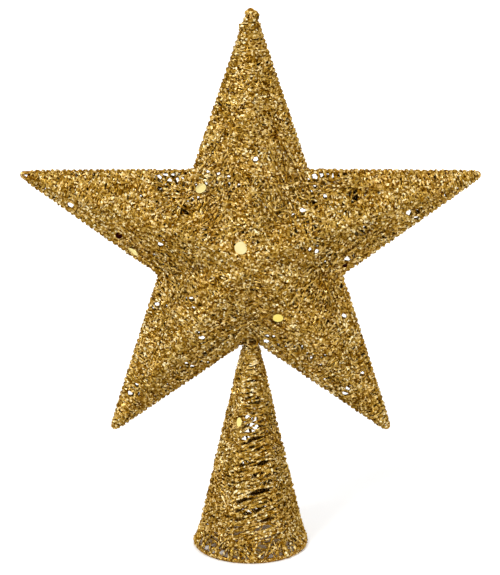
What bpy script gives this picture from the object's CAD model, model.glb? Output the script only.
import math
import random

import bmesh
import bpy
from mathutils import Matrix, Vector


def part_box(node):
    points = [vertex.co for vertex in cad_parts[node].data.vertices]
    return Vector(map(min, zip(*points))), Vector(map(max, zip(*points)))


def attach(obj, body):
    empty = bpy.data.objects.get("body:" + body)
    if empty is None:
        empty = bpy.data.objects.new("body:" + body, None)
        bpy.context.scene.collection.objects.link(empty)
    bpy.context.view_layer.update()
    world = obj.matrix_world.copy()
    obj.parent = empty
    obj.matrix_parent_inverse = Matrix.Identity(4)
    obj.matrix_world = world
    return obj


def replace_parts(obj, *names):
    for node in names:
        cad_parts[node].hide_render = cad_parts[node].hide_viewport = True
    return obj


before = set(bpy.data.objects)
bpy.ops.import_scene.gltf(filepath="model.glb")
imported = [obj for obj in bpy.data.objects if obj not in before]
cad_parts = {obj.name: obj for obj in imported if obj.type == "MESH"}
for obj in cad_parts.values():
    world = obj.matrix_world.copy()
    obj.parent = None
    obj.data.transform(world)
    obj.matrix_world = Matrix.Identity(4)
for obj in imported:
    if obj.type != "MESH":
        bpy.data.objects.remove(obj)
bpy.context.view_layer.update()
bpy.context.scene.view_settings.view_transform = "Standard"
print("frame loaded,", len(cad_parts), "nodes")

# Camera, as the photograph was taken
cameraSettings = {
    "aim": (-0.0003, 0.0, 0.13675),
    "distance": 1.2,
    "elevation": 16.7,
    "lens": 150.6,
    "sensor": 36,
}


def cameraPlace(settings):
    tilt = math.radians(settings["elevation"])
    back = Vector((0, -math.cos(tilt), math.sin(tilt)))
    return Vector(settings["aim"]) + back * settings["distance"], back


def addObject(name, data):
    made = bpy.data.objects.new(name, data)
    bpy.context.scene.collection.objects.link(made)
    return made


def makeCamera(settings):
    data = bpy.data.cameras.new("camera")
    data.lens = settings["lens"]
    data.sensor_width = settings["sensor"]
    camera = addObject("camera", data)
    camera.location, back = cameraPlace(settings)
    camera.rotation_euler = back.to_track_quat("Z", "Y").to_euler()
    bpy.context.scene.camera = camera


makeCamera(cameraSettings)
print("camera set")

# Materials
goldShades = {
    # place on the ramp, then colour
    "thread": [
        (0.0, (0.095, 0.032, 0.0)),
        (0.25, (0.23, 0.11, 0.006)),
        (0.5, (0.38, 0.226, 0.034)),
        (0.75, (0.57, 0.38, 0.098)),
        (0.9, (0.8, 0.6, 0.25)),
        (1.0, (0.98, 0.88, 0.55)),
    ],
    "wire": [
        (0.0, (0.08, 0.028, 0.0)),
        (0.4, (0.22, 0.1, 0.005)),
        (0.8, (0.48, 0.28, 0.05)),
        (1.0, (0.9, 0.72, 0.36)),
    ],
    "warmTint": (1.0, 0.93, 0.78, 1),  # redder gold in places
    "edgeTint": (1.0, 0.75, 0.42, 1),
}
flakePattern = {
    "patch": {"Scale": 60, "Detail": 3},  # broad lighter and darker patches
    "warmth": {"Scale": 95, "Detail": 2},
    "warmthRange": (0.42, 0.68),
    "patchRange": (0.3, 0.7),
}


def setInputs(tree, node, inputs):
    # Each input gets a value of its own, or a link from another node's output
    for name, value in inputs.items():
        if isinstance(value, bpy.types.NodeSocket):
            tree.links.new(value, node.inputs[name])
        else:
            node.inputs[name].default_value = value


def addNode(tree, kind, output, inputs, **options):
    # Gives the new node's output of that name
    node = tree.nodes.new("ShaderNode" + kind)
    for name, value in options.items():
        setattr(node, name, value)
    setInputs(tree, node, inputs)
    return node.outputs[output]


def addMapRange(tree, value, given, wanted=(0, 1), **options):
    # From one range of values to another
    inputs = {"Value": value}
    for word, ends in (("From", given), ("To", wanted)):
        inputs[word + " Min"], inputs[word + " Max"] = ends
    return addNode(tree, "MapRange", "Result", inputs, **options)


def addMultiply(tree, share, colour, tint):
    inputs = {"Factor": share, "A": colour, "B": tint}
    return addNode(tree, "Mix", "Result", inputs, data_type="RGBA", blend_type="MULTIPLY")


def addRamp(tree, share, shades):
    colours = addNode(tree, "ValToRGB", "Color", {"Fac": share})
    marks = colours.node.color_ramp.elements
    while len(marks) < len(shades):
        marks.new(0.5)
    for mark, (position, colour) in zip(marks, shades):
        mark.position = position
        mark.color = (*colour, 1)
    return colours


def newMaterial(name):
    material = bpy.data.materials.new(name)
    material.use_nodes = True
    tree = material.node_tree
    return material, tree, tree.nodes["Principled BSDF"]


def makeGlitterGroup(settings):
    # Gold flakes: one random value and one random facing for each cell
    group = bpy.data.node_groups.new("glitterFlakes", "ShaderNodeTree")
    for name in ("Cells per metre", "Scatter"):
        group.interface.new_socket(name, in_out="INPUT", socket_type="NodeSocketFloat")
    for name in ("Flake", "Gloss", "Patch", "Warmth"):
        group.interface.new_socket(name, in_out="OUTPUT", socket_type="NodeSocketFloat")
    group.interface.new_socket("Normal", in_out="OUTPUT", socket_type="NodeSocketVector")
    given = group.nodes.new("NodeGroupInput").outputs
    place = addNode(group, "TexCoord", "Object", {})
    inputs = {"Vector": place, "Scale": given["Cells per metre"]}
    cells = addNode(group, "TexVoronoi", "Color", inputs)
    parts = addNode(group, "SeparateColor", "Red", {"Color": cells}).node.outputs
    warmth = addNode(group, "TexNoise", "Fac", {"Vector": place, **settings["warmth"]})
    # the cell's colour, as a way that the facing leans
    inputs = {0: cells, 1: (0.5, 0.5, 0.5)}
    lean = addNode(group, "VectorMath", "Vector", inputs, operation="SUBTRACT")
    inputs = {0: lean, "Scale": given["Scatter"]}
    lean = addNode(group, "VectorMath", "Vector", inputs, operation="SCALE")
    inputs = {0: addNode(group, "NewGeometry", "Normal", {}), 1: lean}
    facing = addNode(group, "VectorMath", "Vector", inputs, operation="ADD")
    setInputs(group, group.nodes.new("NodeGroupOutput"), {
        "Flake": parts["Red"],
        "Gloss": parts["Green"],
        "Patch": addNode(group, "TexNoise", "Fac", {"Vector": place, **settings["patch"]}),
        "Warmth": addMapRange(group, warmth, settings["warmthRange"]),
        "Normal": addNode(group, "VectorMath", "Vector", {0: facing}, operation="NORMALIZE"),
    })
    return group


glitterGroup = makeGlitterGroup(flakePattern)


def makeGlitterMaterial(name, shades, cellSize, scatter, metal, gloss, patchShift):
    material, tree, shader = newMaterial(name)
    inputs = {"Cells per metre": 1 / cellSize, "Scatter": scatter}
    flakes = addNode(tree, "Group", "Flake", inputs, node_tree=glitterGroup).node.outputs
    shift = addMapRange(tree, flakes["Patch"], flakePattern["patchRange"], (-patchShift, patchShift))
    inputs = {0: flakes["Flake"], 1: shift}
    total = addNode(tree, "Math", "Value", inputs, operation="ADD", use_clamp=True)
    gold = addRamp(tree, total, shades)
    setInputs(tree, shader, {
        "Base Color": addMultiply(tree, flakes["Warmth"], gold, goldShades["warmTint"]),
        "Roughness": addMapRange(tree, flakes["Gloss"], (0, 1), gloss),
        "Normal": flakes["Normal"],
        "Metallic": metal,
        "Specular IOR Level": 0,
        "Specular Tint": goldShades["edgeTint"],
    })
    return material


# flake size, scatter of the facings, metal, roughness from and to, depth of the patches
threadMaterial = makeGlitterMaterial(
    "goldGlitterThread", goldShades["thread"], 0.001, 0.5, 0.5, (0.25, 0.55), 0.06
)
lappingMaterial = makeGlitterMaterial(
    "goldGlitterLapping", goldShades["wire"], 0.0009, 0.6, 0.5, (0.25, 0.55), 0.05
)
wireMaterial = makeGlitterMaterial(
    "giltWire", goldShades["wire"], 0.0005, 0.7, 0.9, (0.25, 0.5), 0.05
)

# Sequin film: pale, yellow, and the dark of one that mirrors the inside
filmSettings = {
    "tones": [(0.0, (0.92, 0.83, 0.46)), (0.5, (0.95, 0.81, 0.18)), (1.0, (0.014, 0.001, 0.001))],
    "blotch": {"Scale": 350, "Detail": 4},
    "wornTint": (0.9, 0.82, 0.62, 1),
    "bump": {"Strength": 0.15, "Distance": 0.0002},
    "roughness": 0.22,
    "metal": 0.5,
}


def makeSequinMaterial(settings):
    material, tree, shader = newMaterial("sequinFilm")
    place = addNode(tree, "TexCoord", "Object", {})
    blotch = addNode(tree, "TexNoise", "Fac", {"Vector": place, **settings["blotch"]})
    film = addRamp(tree, addNode(tree, "Attribute", "Fac", {}, attribute_name="tone"), settings["tones"])
    setInputs(tree, shader, {
        "Base Color": addMultiply(tree, blotch, film, settings["wornTint"]),
        "Normal": addNode(tree, "Bump", "Normal", {"Height": blotch, **settings["bump"]}),
        "Metallic": settings["metal"],
        "Specular IOR Level": 0,
        "Roughness": settings["roughness"],
    })
    return material


sequinMaterial = makeSequinMaterial(filmSettings)
print("materials made")

# The star's shape, in metres: it has the frame's own sizes
starShape = {
    "tipReach": 0.1204,  # middle to an arm's sharp corner
    "notchReach": 0.0468,  # middle to the corner between two arms
    "apexDepth": 0.0245,  # middle plane to the front and back peaks
    "tipBend": 0.00105,  # the outline wire's bends, to its middle
    "notchBend": 0.00155,
    "discApart": 0.007,  # vertices nearer than this are of one disc
}
armNames = ["top", "right", "lower_right", "lower_left", "left"]
armStep = 2 * math.pi / len(armNames)
tipReach = starShape["tipReach"]
notchReach = starShape["notchReach"]
tipHalf = math.atan2(
    notchReach * math.sin(armStep / 2),
    tipReach - notchReach * math.cos(armStep / 2),
)
edgeLength = notchReach * math.sin(armStep / 2) / math.sin(tipHalf)
edgeOff = tipReach * math.sin(tipHalf)
slope = math.atan2(starShape["apexDepth"], edgeOff)
weldLow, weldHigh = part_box("front_apex_weld")
starCentre = Vector((0, 0, (weldLow.z + weldHigh.z) / 2))
edges = [(arm, side) for arm in range(len(armNames)) for side in (-1, 1)]


def heading(turn):
    # A way in the star's plane, turned clockwise from straight up
    return Vector((math.sin(turn), math.cos(turn)))


def armDirection(arm):
    # Along an arm, or between two for a half number
    return heading(arm * armStep)


def edgePoint(arm, side, along):
    # A point of the outline in the star's plane, and the way out from it
    turn = arm * armStep + math.pi - side * tipHalf
    point = armDirection(arm) * tipReach + heading(turn) * along
    return point, heading(arm * armStep + side * (math.pi / 2 - tipHalf))


def skinHeight(point):
    # How far the sharp star stands out of its middle plane at a place
    turn = math.atan2(point.x, point.y) / armStep
    fold = abs(turn - round(turn)) * armStep
    reach = point.length
    drop = reach * (math.cos(fold) * math.sin(tipHalf) + math.sin(fold) * math.cos(tipHalf))
    return starShape["apexDepth"] * (1 - drop / edgeOff)


def upperHull(heights):
    # Which of the places a taut thread rests on
    kept = []
    for i, (s, h) in enumerate(heights):
        while len(kept) > 1:
            s0, h0 = heights[kept[-2]]
            s1, h1 = heights[kept[-1]]
            if (h1 - h0) * (s - s0) <= (h - h0) * (s1 - s0):
                kept.pop()
            else:
                break
        kept.append(i)
    return kept


def toFrame(flat, face, depth):
    return Vector((flat.x, -face * depth, flat.y)) + starCentre


def discMiddles(nodeName):
    # Where a node's discs are, in the star's plane
    groups = []
    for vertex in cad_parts[nodeName].data.vertices:
        flat = Vector((vertex.co.x, vertex.co.z - starCentre.z))
        for group in groups:
            if (group[0] - flat).length < starShape["discApart"]:
                group.append(flat)
                break
        else:
            groups.append([flat])
    return [sum(group, Vector((0, 0))) / len(group) for group in groups]


# Sequins on the front, each caught at its own tilt
frontSequins = {
    "thickness": 0.00022,
    "segments": 28,
    # place in the star's plane, height over the skin's wires, diameter, way it faces, tone
    "each": [
        ((-0.02429, 0.03112), 0.003, 0.0056, (-0.369, -0.582, 0.725), 0.12),
        ((-0.00468, 0.00551), 0.0027, 0.0063, (0.02, -0.92, 0.39), 0.0),
        ((0.01354, -0.0328), 0.0026, 0.0051, (-0.02, -0.894, -0.448), 0.42),
        ((-0.06492, 0.00687), 0.0022, 0.0034, (-0.1, -0.97, 0.1), 1.0),
        ((-0.05806, -0.00186), 0.0026, 0.0056, (-0.536, -0.564, -0.628), 0.2),
        ((0.04678, -0.00872), 0.0022, 0.0024, (0.2, -0.95, 0.1), 1.0),
    ],
    # on the cone: turn in legs, height, height over the skin's wires, then the same
    "onCone": (5.96, 0.07, 0.003, 0.0047, (-0.86, -0.45, 0.22), 0.25),
    "dishing": ((0.16, 0.04), (0.16, 0.05), (0.08, -0.03), (0.08, 0.03)),
}
# Threads pass under the sequins
sequinRoom = {"radius": 0.0046, "lift": 0.0009}
sequinPlaces = {
    1: [Vector(each[0]) for each in frontSequins["each"]],
    -1: discMiddles("back_sequins"),
}

# Places where the net is open on both faces, in line as the camera sees them
netZones = {
    "radius": (0.0013, 0.0023),
    "behind": 1.2,  # the back's holes are this much larger
    "passes": 4,  # steps to the place behind a hole
    "seed": 3,
    # place in the star's plane, half of the width and height, number of holes
    "zones": [
        (-0.038, 0.0345, 0.0069, 0.002, 16),
        (0.034, 0.034, 0.0059, 0.0031, 11),
        (0.023, 0.021, 0.0025, 0.0026, 3),
        (0.029, 0.002, 0.0039, 0.0021, 4),
        (0.05, -0.004, 0.0039, 0.0026, 4),
        (-0.045, 0.004, 0.003, 0.0026, 3),
        (-0.045, -0.027, 0.003, 0.0047, 9),
        (-0.03, -0.026, 0.003, 0.0031, 4),
        (-0.024, -0.043, 0.0025, 0.0041, 7),
        (-0.025, -0.056, 0.0025, 0.0021, 3),
        (-0.011, -0.046, 0.0025, 0.0031, 5),
        (0.009, -0.047, 0.003, 0.0026, 5),
        (0.025, -0.052, 0.0034, 0.0026, 5),
        (0.047, -0.035, 0.0025, 0.0031, 3),
        (-0.058, -0.072, 0.003, 0.0047, 5),
        (-0.033, -0.062, 0.006, 0.003, 4),
        (-0.018, 0.033, 0.006, 0.003, 3),
        (0.058, -0.065, 0.0025, 0.0031, 3),
        (0.048, -0.074, 0.003, 0.0026, 3),
        (-0.086, 0.025, 0.0039, 0.0031, 4),
        (0.08, 0.017, 0.003, 0.0021, 3),
        (0.003, 0.047, 0.002, 0.0041, 3),
    ],
    # the same for small holes, that show as flecks
    "fleckRadius": (0.0011, 0.0016),
    "flecks": [
        (-0.014, 0.036, 0.0085, 0.006, 26),
        (-0.032, 0.028, 0.007, 0.005, 12),
        (0.034, 0.03, 0.009, 0.004, 14),
        (0.038, -0.006, 0.006, 0.006, 12),
        (-0.045, -0.007, 0.006, 0.006, 10),
        (-0.016, -0.048, 0.008, 0.0035, 14),
        (0.018, -0.048, 0.008, 0.0035, 14),
        (-0.029, -0.06, 0.008, 0.004, 12),
        (0.032, -0.056, 0.007, 0.004, 8),
        (-0.046, -0.073, 0.005, 0.005, 6),
    ],
}


def openNet(settings):
    # Holes of each face, as places and radii
    dice = random.Random(settings["seed"])
    eye = cameraPlace(cameraSettings)[0]
    holes = {1: [], -1: []}
    zones = [(settings["radius"], zone) for zone in settings["zones"]]
    zones += [(settings["fleckRadius"], zone) for zone in settings["flecks"]]
    for sizes, (x, z, wide, high, count) in zones:
        for k in range(count):
            front = Vector((x + dice.uniform(-wide, wide), z + dice.uniform(-high, high)))
            radius = dice.uniform(*sizes)
            holes[1].append((front, radius))
            place = toFrame(front, 1, skinHeight(front))
            way = place - eye
            back = front
            for i in range(settings["passes"]):
                far = place + way * (skinHeight(back) - place.y) / way.y
                back = Vector((far.x, far.z - starCentre.z))
            holes[-1].append((back, radius * settings["behind"]))
    return holes


netHoles = openNet(netZones)

# How every strand on the star is laid
strandShape = {
    "step": 0.0014,  # between the places that it is worked out at
    "fewest": 3,  # steps, on the shortest
    # round the outline wire: turn in degrees, radius, and whether a bundle swells it
    "edgeTurns": [(95, 0.0007, True), (62, 0.0009, True), (33, 0.00125, False)],
    "twist": 0.8,  # turn of the facets about the thread, either way, in radians
}


def outOfHoles(flats, holes):
    # Moves a thread's places out of the holes that it would cross, to the nearer side
    way = (flats[-1] - flats[0]).normalized()
    across = Vector((way.y, -way.x))
    for middle, radius in holes:
        off = (flats[0] - middle).dot(across)
        if abs(off) > radius:
            continue
        side = math.copysign(1, off)
        for i, flat in enumerate(flats[1:-1], 1):
            along = (flat - middle).dot(way)
            if abs(along) < radius:
                room = math.sqrt(radius ** 2 - along ** 2)
                if (flat - middle).dot(across) * side < room:
                    flats[i] = middle + way * along + across * side * room
    return flats


def starStrand(ends, face, lift, bridging):
    # One thread, taut over a face of the star, from one edge of it to another
    first, last = [gather(*end) for end in ends]
    length = (last[0] - first[0]).length
    count = max(strandShape["fewest"], math.ceil(length / strandShape["step"]))
    flats = [first[0].lerp(last[0], i / count) for i in range(count + 1)]
    flats = outOfHoles(flats, netHoles[face])
    heights = [(i / count, skinHeight(flat)) for i, flat in enumerate(flats)]
    hull = upperHull(heights)
    path = edgeTurn(*first, face)
    for before, after in zip(hull, hull[1:]):
        for i in range(max(before, 1), after):
            share = (i - before) / (after - before)
            taut = heights[before][1] * (1 - share) + heights[after][1] * share
            skin = heights[i][1]
            height = skin * (1 - bridging) + taut * bridging + lift / math.cos(slope)
            if any((flats[i] - spot).length < sequinRoom["radius"] for spot in sequinPlaces[face]):
                height = min(height, skin + sequinRoom["lift"] / math.cos(slope))
            path.append(toFrame(flats[i], face, height))
    return path + edgeTurn(*last, face)[::-1]


def edgeTurn(flat, out, bulge, face):
    # Round the outside of the outline wire and up on to the face
    path = []
    for turn, radius, swells in strandShape["edgeTurns"]:
        angle = math.radians(turn)
        radius *= bulge if swells else 1
        path.append(toFrame(flat + out * radius * math.sin(angle), face, radius * math.cos(angle)))
    return path


def resample(path, spacing):
    points = [path[0]]
    left = spacing
    for a, b in zip(path, path[1:]):
        length = (b - a).length
        done = 0
        while length - done > left:
            done += left
            points.append(a.lerp(b, done / length))
            left = spacing
        left -= length - done
    points.append(path[-1])
    return points


def threadPiece(name, strands, settings, material=threadMaterial):
    # Threads as one mesh: each strand is a poly spline, with crumbs of glitter as uneven radii
    dice = random.Random(settings["seed"])
    data = bpy.data.curves.new(name, "CURVE")
    data.dimensions = "3D"
    data.bevel_depth = settings["radius"]
    data.bevel_resolution = 0
    data.use_fill_caps = True
    shake = settings["shake"]
    twist = strandShape["twist"]
    for strand in strands:
        points = resample(strand, settings["spacing"])
        spline = data.splines.new("POLY")
        spline.points.add(len(points) - 1)
        places = []
        for point in points:
            places.extend([part + dice.uniform(-shake, shake) for part in point] + [1])
        spline.points.foreach_set("co", places)
        spline.points.foreach_set("radius", [dice.uniform(*settings["crumbs"]) for p in points])
        spline.points.foreach_set("tilt", [dice.uniform(-twist, twist) for p in points])
    holder = addObject(name + "Curve", data)
    graph = bpy.context.evaluated_depsgraph_get()
    mesh = bpy.data.meshes.new_from_object(holder.evaluated_get(graph))
    bpy.data.objects.remove(holder)
    bpy.data.curves.remove(data)
    mesh.name = name
    mesh.materials.clear()
    mesh.materials.append(material)
    piece = addObject(name, mesh)
    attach(piece, "root")
    print(name, len(strands), "strands,", 2 * len(mesh.polygons), "triangles")
    return piece


# Threads cross the outline in small bundles, which stand out from its edge
edgeBundles = {
    "first": 0.004,  # from the arm's sharp corner
    "spacing": (0.0019, 0.0034),
    "pull": 0.55,  # how far a thread's end is drawn to its bundle
    "reach": 0.0013,  # half of a bundle's width
    "bulge": (0.88, 1.22),  # between bundles and in the middle of one
    "noseLength": 0.01,  # the tips are slimmer
    "noseShare": 0.66,
    "endRoom": 0.0005,  # left before the inner corner
    "seed": 5,
}


def layBundles(settings):
    dice = random.Random(settings["seed"])
    bundles = {}
    for edge in edges:
        places = [settings["first"]]
        while places[-1] < edgeLength - settings["spacing"][0]:
            places.append(places[-1] + dice.uniform(*settings["spacing"]))
        bundles[edge] = places
    return bundles


bundlePlaces = layBundles(edgeBundles)


def drawIn(place, bundles, pull, settings):
    # Draws a thread's place towards the nearest bundle, and gives how far it then stands out
    nearest = min(bundles, key=lambda bundle: abs(bundle - place))
    place += (nearest - place) * pull
    near = max(0, 1 - abs(nearest - place) / settings["reach"])
    low, high = settings["bulge"]
    return place, low + (high - low) * near


def gather(arm, side, along):
    # A thread's end, drawn towards its bundle: its place, the way out, and how far it stands out
    along, bulge = drawIn(along, bundlePlaces[(arm, side)], edgeBundles["pull"], edgeBundles)
    if along < edgeBundles["noseLength"]:
        bulge *= edgeBundles["noseShare"]
    return *edgePoint(arm, side, min(along, edgeLength - edgeBundles["endRoom"])), bulge


# Threads wound round each arm
armThreads = {
    "count": 205,
    "from": (0.0065, 0.004, 0.004, 0.004, 0.007),  # for each arm; the left tip is bare wire
    "slant": (5, 20),  # spread of the threads' slant at the tip and at the body
    "lift": (0.0007, 0.002),
    "bridging": 0.12,  # how far a thread is taut over a hollow
    "radius": 0.0005,
    "spacing": 0.0011,
    "crumbs": (0.45, 1.6),
    "shake": 0.00026,
    "seed": 11,
}
# Stretches of an edge where fewer threads pass: arm and side, from, to, share left out
thinSpots = [
    ((4, 1), 0.068, 0.084, 0.72),
    ((1, -1), 0.066, 0.083, 0.66),
]


def leftOut(spots, where, place, dice):
    # Whether a thread that would pass there is left out
    for spot, low, high, share in spots:
        if spot == where and low < place < high:
            return dice.random() < share
    return False


def camel(armName):
    return "".join(part.title() for part in armName.split("_"))


def armStrands(arm, face, settings):
    dice = random.Random(settings["seed"] + 10 * arm + face)
    strands = []
    least = settings["from"][arm]
    reach = edgeLength - least
    for k in range(settings["count"]):
        middle = least + reach * (k + dice.random()) / settings["count"]
        tipSpread, bodySpread = settings["slant"]
        spread = tipSpread + (bodySpread - tipSpread) * middle / edgeLength
        slant = math.tan(math.radians(dice.gauss(0, spread)))
        shift = middle * math.sin(tipHalf) * slant
        ends = [(arm, way, min(max(middle + way * shift, least), edgeLength)) for way in (-1, 1)]
        if any(leftOut(thinSpots, end[:2], end[2], dice) for end in ends):
            continue
        strands.append(starStrand(ends, face, dice.uniform(*settings["lift"]), settings["bridging"]))
    return strands


def makeArmThreads(settings):
    for face, faceName, nodeName in ((1, "Front", "front_net_"), (-1, "Back", "back_net_")):
        for arm, armName in enumerate(armNames):
            name = "armThreads" + faceName + camel(armName)
            piece = threadPiece(name, armStrands(arm, face, settings), settings)
            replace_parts(piece, nodeName + armName)


makeArmThreads(armThreads)

# Threads across the star's middle
bodyThreads = {
    "count": 320,
    "cornerShare": 0.6,  # threads that pass near an inner corner
    "cornerReach": (0.5, 0.95),  # how far out, as a share of the way to the corner
    "cornerSpread": 0.18,  # and how far aside
    "tipShare": 0.04,  # part of an edge, at the tip, that they keep off
    "lift": (0.0007, 0.0019),
    "bridging": (0.0, 0.28),
    "snap": 0.008,  # ends this near an inner corner are drawn into it
    "snapTo": (0.0004, 0.0025),  # and then end this near to it
    "radius": 0.0005,
    "spacing": 0.0011,
    "crumbs": (0.45, 1.7),
    "shake": 0.00036,
    "seed": 41,
}


def crossOutline(point, way):
    # The nearest edge that a line from a point meets: arm, side, place along it
    best = None
    for arm, side in edges:
        tip = armDirection(arm) * tipReach
        notch = armDirection(arm + side / 2) * notchReach
        run = notch - tip
        det = way.x * -run.y + way.y * run.x
        if abs(det) < 1e-9:
            continue
        gap = tip - point
        far = (gap.x * -run.y + gap.y * run.x) / det
        share = (way.x * gap.y - way.y * gap.x) / det
        if far > 1e-6 and bodyThreads["tipShare"] < share < 1 and (best is None or far < best[0]):
            best = (far, (arm, side, share * edgeLength))
    return best[1] if best else None


def bodyStrands(face, settings):
    dice = random.Random(settings["seed"] + face)
    strands = []
    while len(strands) < settings["count"]:
        point = Vector((dice.uniform(-1, 1), dice.uniform(-1, 1))) * notchReach
        if dice.random() < settings["cornerShare"]:
            corner = armDirection(dice.randrange(len(armNames)) + 0.5) * notchReach
            point = corner * dice.uniform(*settings["cornerReach"]) + point * settings["cornerSpread"]
        if skinHeight(point) < 0 or point.length > notchReach:
            continue
        way = heading(dice.uniform(0, math.pi))
        ends = [crossOutline(point, way), crossOutline(point, -way)]
        if None in ends:
            continue
        if any(leftOut(thinSpots, end[:2], end[2], dice) for end in ends):
            continue
        for i, (arm, side, along) in enumerate(ends):
            if along > edgeLength - settings["snap"]:
                ends[i] = (arm, side, edgeLength - dice.uniform(*settings["snapTo"]))
        lift = dice.uniform(*settings["lift"])
        strands.append(starStrand(ends, face, lift, dice.uniform(*settings["bridging"])))
    return strands


def makeBodyThreads(settings):
    for face, faceName in ((1, "Front"), (-1, "Back")):
        strands = bodyStrands(face, settings)
        half = len(strands) // 2
        for letter, part in (("A", strands[:half]), ("B", strands[half:])):
            threadPiece("bodyThreads" + faceName + letter, part, settings)


makeBodyThreads(bodyThreads)

# Close lapping on the outline wire
outlineLapping = {
    "tipPoints": 7,  # places round each bend of the wire
    "notchPoints": 3,
    "pitch": 0.0013,
    "reach": 0.00066,
    "turnPoints": 8,
    "radius": 0.00042,
    "spacing": 0.0008,
    "crumbs": (0.7, 1.3),
    "shake": 0.0001,
    "seed": 61,
}


def outlineLine(tipPoints, notchPoints):
    # Middle line of the outline wire, with its bends, and the way out from it
    line = []
    tipRadius = starShape["tipBend"]
    notchRadius = starShape["notchBend"]
    for arm in range(len(armNames)):
        along = armDirection(arm)
        centre = along * (tipReach - tipRadius / math.sin(tipHalf))
        for i in range(tipPoints):
            out = heading(arm * armStep + armStep * (2 * i / (tipPoints - 1) - 1))
            line.append((centre + out * tipRadius, out))
        between = armDirection(arm + 0.5)
        notchHalf = tipHalf + armStep / 2
        centre = between * (notchReach + notchRadius / math.sin(notchHalf))
        for i in range(notchPoints):
            turn = (math.pi / 2 - notchHalf) * (1 - 2 * i / (notchPoints - 1))
            out = heading((arm + 0.5) * armStep + turn)
            line.append((centre - out * notchRadius, out))
    return line + line[:1]


def helixAround(line, settings):
    # A helix round a line of (point, way out, way across) in the frame
    path = []
    step = settings["pitch"] / settings["turnPoints"]
    turn = 0
    left = 0
    for (a, outA, sideA), (b, outB, sideB) in zip(line, line[1:]):
        length = (b - a).length
        done = left
        while done < length:
            share = done / length
            out = outA.lerp(outB, share).normalized()
            across = sideA.lerp(sideB, share).normalized()
            ring = out * math.cos(turn) + across * math.sin(turn)
            path.append(a.lerp(b, share) + ring * settings["reach"])
            turn += 2 * math.pi / settings["turnPoints"]
            done += step
        left = done - length
    return path


def makeOutlineLapping(settings):
    line = []
    for flat, out in outlineLine(settings["tipPoints"], settings["notchPoints"]):
        line.append((toFrame(flat, 1, 0), Vector((out.x, 0, out.y)), Vector((0, 1, 0))))
    threadPiece("outlineLapping", [helixAround(line, settings)], settings, lappingMaterial)


makeOutlineLapping(outlineLapping)

# The cone's shape follows the rings and legs of the frame
ringLow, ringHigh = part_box("base_ring")
neckLow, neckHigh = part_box("neck_ring")
ringWire = (ringHigh.z - ringLow.z) / 2
ringRadius = ringHigh.x - ringWire
neckHeight = (neckLow.z + neckHigh.z) / 2
neckRadius = neckHigh.x - (neckHigh.z - neckLow.z) / 2
coneShape = {
    "legs": 6,
    "firstLeg": -22,  # from the front, towards +X
    "legInset": 0.0011,  # leg's foot inwards from the ring
    "tuck": -0.0002,  # the ends of threads dip under the skin
    "places": 10,  # of a thread over a panel
}
legs = coneShape["legs"]
footRadius = ringRadius - coneShape["legInset"]
footHeight = 2 * ringWire


def roundCone(turn, radius, height):
    # A turn counts legs, from the first one
    angle = math.radians(coneShape["firstLeg"] + 360 / legs * turn)
    return Vector((radius * math.sin(angle), -radius * math.cos(angle), height))


def legPoint(leg, height):
    share = (height - footHeight) / (neckHeight - footHeight)
    return roundCone(leg, footRadius + (neckRadius - footRadius) * share, height)


def outwards(point):
    return Vector((point.x, point.y, 0)).normalized()


def conePoint(turn, height, lift):
    # Over the flat panels: a turn of 0.5 is the middle of the front one
    leg = math.floor(turn)
    flat = legPoint(leg, height).lerp(legPoint(leg + 1, height), turn - leg)
    return flat + outwards(flat) * lift


# Openings that threads are drawn aside from: panel, share of its width, height,
# half of the opening's width as a share, half of its height, rise over the panel's width
coneOpenings = [
    # holes high on the front, and those behind them
    (0, 0.24, 0.0722, 0.18, 0.0016, 0.003),
    (0, 0.54, 0.071, 0.2, 0.0019, -0.002),
    (0, 0.62, 0.0668, 0.2, 0.0019, 0.003),
    (0, 0.3, 0.0652, 0.17, 0.0015, 0.003),
    (0, 0.2, 0.0618, 0.18, 0.0018, 0.004),
    (0, 0.22, 0.05, 0.17, 0.0017, 0.006),
    (0, 0.42, 0.057, 0.16, 0.0016, 0.005),
    (3, 0.5, 0.064, 0.26, 0.0026, 0.0),
    (3, 0.22, 0.06, 0.3, 0.0056, 0.0),
    (3, 0.42, 0.056, 0.22, 0.0022, 0.0),
    (3, 0.56, 0.052, 0.24, 0.0026, 0.0),
    (3, 0.52, 0.0375, 0.2, 0.0024, 0.0),
    # slits at the right
    (1, 0.3, 0.0692, 0.26, 0.0019, -0.016),
    (1, 0.6, 0.0628, 0.26, 0.0019, -0.016),
    (1, 0.2, 0.064, 0.24, 0.0018, -0.014),
    (1, 0.48, 0.0585, 0.24, 0.0016, -0.014),
    (2, 0.5, 0.065, 0.4, 0.004, 0.008),
    (2, 0.32, 0.058, 0.4, 0.0038, 0.008),
    (2, 0.62, 0.0575, 0.3, 0.003, 0.008),
    # dark slits between the bundles low on the front
    (0, 0.66, 0.056, 0.2, 0.0015, 0.005),
    (0, 0.7, 0.049, 0.24, 0.0017, 0.005),
    (0, 0.54, 0.043, 0.28, 0.002, 0.005),
    (0, 0.54, 0.0345, 0.32, 0.002, 0.006),
    (0, 0.42, 0.025, 0.32, 0.0021, 0.006),
    (0, 0.66, 0.0168, 0.3, 0.0018, 0.006),
    (0, 0.84, 0.0395, 0.24, 0.0018, 0.006),
    (0, 0.84, 0.03, 0.24, 0.0018, 0.006),
    (0, 0.2, 0.031, 0.2, 0.0014, 0.006),
    (0, 0.76, 0.0205, 0.24, 0.0017, 0.006),
    (1, 0.3, 0.035, 0.26, 0.0017, 0.007),
    (1, 0.45, 0.0255, 0.28, 0.0017, 0.007),
    (1, 0.25, 0.016, 0.24, 0.0016, 0.007),
]


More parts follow.
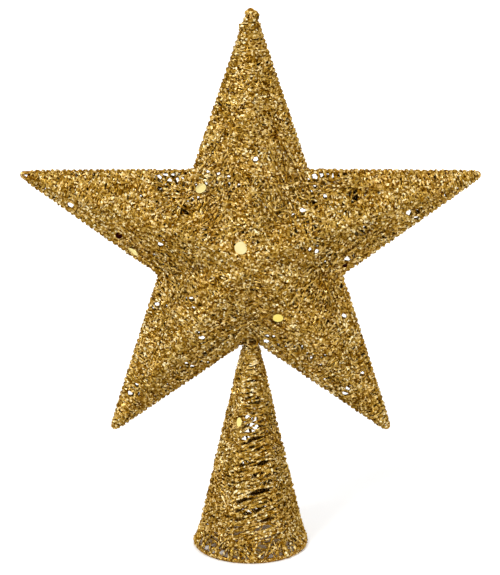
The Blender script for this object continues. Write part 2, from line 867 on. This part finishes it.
def aside(panel, share, height):
    # Draws a place of a thread out of any opening there
    panel %= legs
    for where, middle, level, halfWide, halfHigh, rise in coneOpenings:
        if where != panel or abs(share - middle) > halfWide:
            continue
        room = halfHigh * (1 - ((share - middle) / halfWide) ** 2)
        line = level + rise * (share - middle)
        if abs(height - line) < room:
            height = line + math.copysign(room, height - line)
    return height


def coneStrand(leg, height, toHeight, lift, bulges, over):
    # One thread over a panel, round the legs at its two sides
    tuck = coneShape["tuck"]
    path = [conePoint(leg - over, height, tuck), legPoint(leg, height)]
    path[1] += outwards(path[1]) * bulges[0]
    for i in range(coneShape["places"]):
        share = (i + 0.5) / coneShape["places"]
        level = aside(leg, share, height + (toHeight - height) * share)
        path.append(conePoint(leg + share, level, lift))
    path.append(legPoint(leg + 1, toHeight))
    path[-1] += outwards(path[-1]) * bulges[1]
    path.append(conePoint(leg + 1 + over, toHeight, tuck))
    return path


coneThreads = {
    "count": 1900,
    "topThinning": 0.25,
    # more threads behind the slits: panel, from, to, number
    "backing": [(3, 0.01, 0.046, 130), (2, 0.01, 0.046, 80)],
    "low": 0.008,
    "high": 0.104,
    "lift": (0.0005, 0.0019),
    "topRoom": 0.002,  # left under the neck ring
    "bundles": (0.0021, 0.0034),  # spacing up a leg of the bundles that cross it
    "closer": (1.45, 0.55),  # the bundles' spacing at the foot, and how much less at the top
    "looser": 0.6,  # how much less the threads are drawn to the bundles at the top
    "reach": 0.0012,  # half of a bundle's width
    "bulge": (0.0007, 0.0014),  # how far a thread stands out from a leg's axis
    "over": (0.03, 0.12),  # how far it runs on over the next panels
    "radius": 0.0005,
    "spacing": 0.0011,
    "crumbs": (0.45, 1.6),
    "shake": 0.00024,
    "seed": 71,
}
# For each panel: usual slant of its threads low down and high up, their spread, in degrees,
# and how far their ends are drawn to the bundles on the legs
panelWays = [
    (18, 8, 5, 0.85),
    (8, -38, 12, 0.6),
    (10, -10, 16, 0.5),
    (-10, 10, 14, 0.5),
    (8, -12, 16, 0.5),
    (4, 6, 18, 0.4),
]
# Thinner places: panel, from, to, share left out
coneGaps = [
    (0, 0.06, 0.0745, 0.45),
    (3, 0.05, 0.068, 0.5),
    (1, 0.058, 0.073, 0.45),
    (2, 0.055, 0.068, 0.5),
]


def coneStrands(settings):
    dice = random.Random(settings["seed"])
    strands = []
    low = settings["low"]
    high = settings["high"]
    wide, less = settings["closer"]
    bundles = []
    for leg in range(legs):
        places = [low]
        while places[-1] < high:
            apart = wide - less * places[-1] / high
            places.append(places[-1] + dice.uniform(*settings["bundles"]) * apart)
        bundles.append(places)
    # as many threads for each millimetre of height, before the thinning
    starts = [(k % legs, low, high) for k in range(settings["count"])]
    for panel, backLow, backHigh, count in settings["backing"]:
        starts += [(panel, backLow, backHigh)] * count
    for panel, lowest, highest in starts:
        height = dice.uniform(lowest, highest)
        if leftOut(coneGaps, panel, height, dice):
            continue
        if dice.random() < settings["topThinning"] * height / high:
            continue
        lowSlant, highSlant, spread, pull = panelWays[panel]
        share = (height - low) / (high - low)
        slant = lowSlant + (highSlant - lowSlant) * share + dice.gauss(0, spread * (1 + share))
        pull *= 1 - settings["looser"] * share
        width = (legPoint(panel, height) - legPoint(panel + 1, height)).length
        rise = width * math.tan(math.radians(slant)) / 2
        ends = []
        bulges = []
        for leg, place in ((panel, height - rise), (panel + 1, height + rise)):
            place = min(max(place, low), neckHeight - settings["topRoom"])
            place, bulge = drawIn(place, bundles[leg % legs], pull, settings)
            ends.append(place)
            bulges.append(bulge)
        lift = dice.uniform(*settings["lift"])
        over = dice.uniform(*settings["over"])
        strands.append(coneStrand(panel, *ends, lift, bulges, over))
    return strands


def makeConeThreads(settings):
    strands = coneStrands(settings)
    half = len(strands) // 2
    inner = threadPiece("coneThreadsA", strands[:half], settings)
    outer = threadPiece("coneThreadsB", strands[half:], settings)
    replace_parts(inner, *["cone_net_%d" % (n + 1) for n in range(legs)])
    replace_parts(outer, "cone_winding")


makeConeThreads(coneThreads)

# Lapping on the base ring, and the threads that tie the skin to it
ringLapping = {
    "pitch": 0.00125,
    "reach": 0.00088,
    "turnPoints": 8,
    "points": 120,  # round the ring
    "floorRoom": 1.3,  # kept over the floor, in thread radii
    "radius": 0.00043,
    "spacing": 0.00085,
    "crumbs": (0.75, 1.25),
    "shake": 0.00005,
    "seed": 81,
}


def makeRingLapping(settings):
    line = []
    for i in range(settings["points"] + 1):
        turn = 2 * math.pi * i / settings["points"]
        out = Vector((math.sin(turn), -math.cos(turn), 0))
        line.append((out * ringRadius + Vector((0, 0, ringWire)), out, Vector((0, 0, 1))))
    least = settings["radius"] * settings["floorRoom"]
    path = [Vector((p.x, p.y, max(p.z, least))) for p in helixAround(line, settings)]
    threadPiece("ringLapping", [path], settings, lappingMaterial)


makeRingLapping(ringLapping)

footTies = {
    "count": 118,
    "bundles": 28,
    "top": (0.0075, 0.014),
    "lift": (0.0004, 0.0013),
    "slant": 0.24,
    "gather": 0.35,  # half of a bundle's width, as a share of their spacing
    "posts": 9,  # more ties at each leg
    "postTop": 0.02,  # spread of their tops, in legs
    "postFoot": (0.02, 0.035),  # shift and spread of their feet
    # down the ring and under it: turn, way out, the most where that varies, height
    "round": [(0, 0.0004, None, 0.0025), (0.01, 0.0005, 0.001, 0.0015), (0.02, 0.0006, None, 0.0009)],
    "crossings": 46,  # threads that run over the ties
    "level": (0.0034, 0.009),  # height of their middles
    "levels": (0.0026, 0.011),  # lowest and highest that they go
    "rise": 0.0024,
    "crossLift": (0.0004, 0.0011),
    "crossWidth": (0.16, 0.5),
    "radius": 0.00054,
    "spacing": 0.0011,
    "crumbs": (0.4, 1.8),
    "shake": 0.00034,
    "seed": 91,
}


def makeFootTies(settings):
    dice = random.Random(settings["seed"])
    step = legs / settings["bundles"]
    turns = [legs * (k + dice.random()) / settings["count"] for k in range(settings["count"])]
    feet = []
    for turn in turns:
        # the ties meet the ring in bundles
        foot = round((turn + dice.gauss(0, settings["slant"])) / step) * step
        feet.append(foot + dice.uniform(-settings["gather"], settings["gather"]) * step)
    for leg in range(legs):
        for k in range(settings["posts"]):
            turns.append(leg + dice.gauss(0, settings["postTop"]))
            feet.append(leg + dice.gauss(*settings["postFoot"]))
    strands = []
    for turn, foot in zip(turns, feet):
        path = [conePoint(turn, dice.uniform(*settings["top"]), dice.uniform(*settings["lift"]))]
        for shift, least, most, height in settings["round"]:
            out = dice.uniform(least, most) if most else least
            path.append(roundCone(foot + shift, ringRadius + out, height))
        strands.append(path)
    for k in range(settings["crossings"]):
        turn = legs * dice.random()
        level = dice.uniform(*settings["level"])
        rise = dice.gauss(0, settings["rise"])
        out = dice.uniform(*settings["crossLift"])
        width = dice.uniform(*settings["crossWidth"])
        lowest, highest = settings["levels"]
        path = []
        for part in (-1, 0, 1):
            height = min(max(level + rise * part, lowest), highest)
            path.append(conePoint(turn + width * part, height, out))
        strands.append(path)
    threadPiece("footTies", strands, settings)


makeFootTies(footTies)
print("cone wound")

# Bindings at the neck and the tips, with this many places to a turn
loopPoints = 12


def roundTurns(turns):
    # Cosine and sine at each place of so many turns
    angles = [2 * math.pi * i / loopPoints for i in range(turns * loopPoints + 1)]
    return [(math.cos(angle), math.sin(angle)) for angle in angles]


neckThreads = {
    "turns": 9,
    "low": 0.0985,
    "high": 0.1085,
    "lift": (0.0012, 0.0018),
    "radius": 0.0004,
    "spacing": 0.0008,
    "crumbs": (0.72, 1.3),
    "shake": 0.0001,
    "seed": 101,
}


def makeNeckThreads(settings):
    dice = random.Random(settings["seed"])
    path = []
    count = settings["turns"] * loopPoints
    low = settings["low"]
    for k in range(count + 1):
        height = low + (settings["high"] - low) * k / count
        turn = legs * k / loopPoints
        path.append(conePoint(turn, min(height, neckHeight), dice.uniform(*settings["lift"])))
    piece = threadPiece("neckThreads", [path], settings)
    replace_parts(piece, "neck_binding")


makeNeckThreads(neckThreads)

# Loops that tie the neck ring to the star's lowest corner, round a dark eye
neckKnot = {
    "middle": (0.001, -0.003, 0.1094),
    "radii": (0.0026, 0.0028),
    "lean": 0.0018,  # the top of each loop leans back over the outline wire
    "loops": 5,
    "wander": 0.0004,
    "radius": 0.00048,
    "spacing": 0.001,
    "crumbs": (0.6, 1.4),
    "shake": 0.00014,
    "seed": 105,
}


def makeNeckKnot(settings):
    dice = random.Random(settings["seed"])
    middle = Vector(settings["middle"])
    wander = settings["wander"]
    wide, high = settings["radii"]
    path = []
    for across, up in roundTurns(settings["loops"]):
        place = Vector((wide * across, settings["lean"] * up, high * up))
        path.append(middle + place + Vector([dice.uniform(-wander, wander) for axis in range(3)]))
    threadPiece("neckKnot", [path], settings)


makeNeckKnot(neckKnot)

tipThreads = {
    "wrap": (0.0065, 0.0105, 4),  # from, to and turns down the arm
    "sideRoom": 0.0006,  # outside the arm's edges, and over its ridge
    "ridgeRoom": 0.0014,
    "wander": 0.0003,
    "radius": 0.0004,
    "spacing": 0.0008,
    "crumbs": (0.75, 1.3),
    "shake": 0.00008,
    "seed": 111,
}


def tipLoops(arm, start, stop, turns, wide, deep, lean, dice):
    # Turns round an arm near its tip, higher at the front: wide and deep are the least halves
    path = []
    wander = tipThreads["wander"]
    along = armDirection(arm)
    across = Vector((along.y, -along.x))
    for k, (side, rise) in enumerate(roundTurns(turns)):
        down = start + (stop - start) * k / (turns * loopPoints)
        halfWide = max(wide, down * math.tan(tipHalf) + tipThreads["sideRoom"])
        halfDeep = max(deep, down * starShape["apexDepth"] / tipReach + tipThreads["ridgeRoom"])
        flat = along * (tipReach - down + lean * rise) + across * halfWide * side
        flat += along * dice.uniform(-wander, wander)
        path.append(toFrame(flat, 1, halfDeep * rise))
    return path


# The knob on the top tip, and the thick turns under it
knobShape = {
    # two lumps: aside and down from the arm's sharp corner, radii, loops
    "lumps": [
        ((0.0016, 0.0051), (0.0026, 0.0021, 0.0029), 18),
        ((-0.0011, 0.0036), (0.0017, 0.0013, 0.0018), 9),
    ],
    # start, half-width, shift aside and turns of each thick lapping down the arm
    "shoulders": [
        (0.0076, 0.0034, 0.0, 2),
        (0.0092, 0.0052, -0.0004, 4),
        (0.0134, 0.0058, 0.0, 4),
        (0.0178, 0.0069, 0.0, 4),
        (0.0222, 0.0083, 0.0, 3),
    ],
    "pitch": 0.00065,
    "lean": 0.0011,
    "deepShare": 0.7,  # a lapping's half-depth, as a share of its half-width
    "sizes": (0.35, 1.0),  # of the loops in a lump
}


def knobLoops(settings, dice):
    strands = []
    for (shift, down), radii, loops in settings["lumps"]:
        for k in range(loops):
            axis = Vector([dice.gauss(0, 1) for i in range(3)]).normalized()
            first = axis.orthogonal().normalized()
            second = axis.cross(first)
            size = dice.uniform(*settings["sizes"])
            path = []
            for across, up in roundTurns(1):
                ring = (first * across + second * up) * size
                flat = Vector((shift + ring.x * radii[0], tipReach - down + ring.z * radii[2]))
                path.append(toFrame(flat, 1, ring.y * radii[1]))
            strands.append(path)
    return strands


def makeTipThreads(settings):
    dice = random.Random(settings["seed"])
    for arm, armName in list(enumerate(armNames))[1:]:
        name = "tipThreads" + camel(armName)
        path = tipLoops(arm, *settings["wrap"], 0, 0, 0, dice)
        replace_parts(threadPiece(name, [path], settings), "tip_wrap_" + armName)
    strands = knobLoops(knobShape, dice)
    for start, wide, shift, turns in knobShape["shoulders"]:
        stop = start + knobShape["pitch"] * turns
        deep = wide * knobShape["deepShare"]
        path = tipLoops(0, start, stop, turns, wide, deep, knobShape["lean"], dice)
        strands.append([point + Vector((shift, 0, 0)) for point in path])
    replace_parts(threadPiece("topKnot", strands, settings), "top_knob")


makeTipThreads(tipThreads)
print("bindings made")

# Finishes of the frame's own pieces that stay in sight
for nodeName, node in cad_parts.items():
    if node.hide_render:
        continue
    node.data.materials.clear()
    node.data.materials.append(sequinMaterial if "sequin" in nodeName else wireMaterial)


def meshFrom(name, shape):
    mesh = bpy.data.meshes.new(name)
    shape.to_mesh(mesh)
    shape.free()
    return mesh


def sequinPiece(name, discs, settings, replaced):
    # Discs of film as one mesh: each has a place, diameter, way it faces and tone
    shape = bmesh.new()
    shape.verts.layers.float.new("tone")
    for place, diameter, facing, shade in discs:
        disc = bmesh.new()
        toneHere = disc.verts.layers.float.new("tone")
        radius = diameter / 2
        bmesh.ops.create_circle(disc, cap_ends=True, segments=settings["segments"], radius=radius)
        # a dished film with a ring pressed into it, each time in the one face of many corners
        for share, rise in settings["dishing"]:
            top = [face for face in disc.faces if len(face.verts) > 4]
            bmesh.ops.inset_region(disc, faces=top, thickness=share * radius, depth=rise * radius)
        bmesh.ops.solidify(disc, geom=disc.faces[:], thickness=settings["thickness"])
        bmesh.ops.recalc_face_normals(disc, faces=disc.faces[:])
        turn = Vector(facing).to_track_quat("Z", "Y").to_matrix().to_4x4()
        bmesh.ops.transform(disc, matrix=turn, verts=disc.verts[:])
        bmesh.ops.translate(disc, vec=place, verts=disc.verts[:])
        for vert in disc.verts:
            vert[toneHere] = shade
        part = meshFrom("disc", disc)
        shape.from_mesh(part)
        bpy.data.meshes.remove(part)
    mesh = meshFrom(name, shape)
    mesh.materials.append(sequinMaterial)
    piece = addObject(name, mesh)
    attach(piece, "root")
    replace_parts(piece, replaced)


def makeSequins(settings):
    discs = []
    for (x, z), lift, diameter, facing, shade in settings["each"]:
        flat = Vector((x, z))
        discs.append((toFrame(flat, 1, skinHeight(flat) + lift), diameter, facing, shade))
    sequinPiece("frontSequins", discs, settings, "front_sequins")
    turn, height, lift, diameter, facing, shade = settings["onCone"]
    disc = (conePoint(turn, height, lift), diameter, facing, shade)
    sequinPiece("coneSequin", [disc], settings, "cone_sequin")


makeSequins(frontSequins)
print("sequins made")

# Floor, surround and lamps
stageSettings = {
    "floor": 3.0,
    "floorColour": (0.82, 0.82, 0.82, 1),
    "floorRoughness": 0.9,
    "floorSheen": 0.1,
    "glow": (0.35, 0.62),  # of the floor near and far, so that no horizon is in sight
    "farRange": (0.25, 1.2),
    "dimWithin": (0.027, 0.0315),
    "insideGlow": (0.28, 0.18, 0.09, 1),  # of the floor inside the cone's foot
    "surround": 0.48,
    "lampAim": 0.8,  # share of the star's height that the lamps point at
    # each lamp: place, size, power
    "keyLamp": ((-1.0, -1.05, 1.5), 0.5, 26),
    "fillLamp": ((1.2, -0.9, 0.7), 0.7, 7),
    "backLamp": ((0.3, 1.3, 1.2), 0.8, 10),
}


def seenShare(tree):
    # 1 for the rays that look at a thing: from the camera, off gloss and through glass
    share = addNode(tree, "LightPath", "Is Camera Ray", {})
    rays = share.node.outputs
    for ray in ("Is Glossy Ray", "Is Transmission Ray"):
        share = addNode(tree, "Math", "Value", {0: share, 1: rays[ray]}, operation="MAXIMUM")
    return share


def makeSurround(settings):
    world = bpy.data.worlds.new("surround")
    world.use_nodes = True
    bpy.context.scene.world = world
    tree = world.node_tree
    strength = addMapRange(tree, seenShare(tree), (0, 1), (settings["surround"], 1))
    setInputs(tree, tree.nodes["Background"], {"Color": (1, 1, 1, 1), "Strength": strength})


def makeFloor(settings):
    shape = bmesh.new()
    bmesh.ops.create_grid(shape, x_segments=1, y_segments=1, size=settings["floor"])
    mesh = meshFrom("floor", shape)
    floor = addObject("floor", mesh)
    material, tree, shader = newMaterial("floorWhite")
    place = addNode(tree, "TexCoord", "Object", {})
    reach = addNode(tree, "VectorMath", "Value", {0: place}, operation="LENGTH")
    outside = addMapRange(tree, reach, settings["dimWithin"], interpolation_type="SMOOTHSTEP")
    tint = {"Factor": outside, "A": settings["insideGlow"], "B": (1, 1, 1, 1)}
    glow = {0: seenShare(tree), 1: addMapRange(tree, reach, settings["farRange"], settings["glow"])}
    setInputs(tree, shader, {
        "Base Color": settings["floorColour"],
        "Roughness": settings["floorRoughness"],
        "Specular IOR Level": settings["floorSheen"],
        "Emission Color": addNode(tree, "Mix", "Result", tint, data_type="RGBA"),
        "Emission Strength": addNode(tree, "Math", "Value", glow, operation="MULTIPLY"),
    })
    # the floor doesn't hide the object from below
    below = addNode(tree, "NewGeometry", "Backfacing", {})
    sides = {"Fac": below, 1: shader.outputs["BSDF"], 2: addNode(tree, "BsdfTransparent", "BSDF", {})}
    either = addNode(tree, "MixShader", "Shader", sides)
    setInputs(tree, tree.nodes["Material Output"], {"Surface": either})
    mesh.materials.append(material)


def makeLamp(name, settings):
    place, size, power = settings[name]
    data = bpy.data.lights.new(name, "AREA")
    data.size = size
    data.energy = power
    lamp = addObject(name, data)
    lamp.location = place
    away = Vector(place) - starCentre * settings["lampAim"]
    lamp.rotation_euler = away.to_track_quat("Z", "Y").to_euler()


makeSurround(stageSettings)
makeFloor(stageSettings)
for lampName in ("keyLamp", "fillLamp", "backLamp"):
    makeLamp(lampName, stageSettings)
print("stage set")
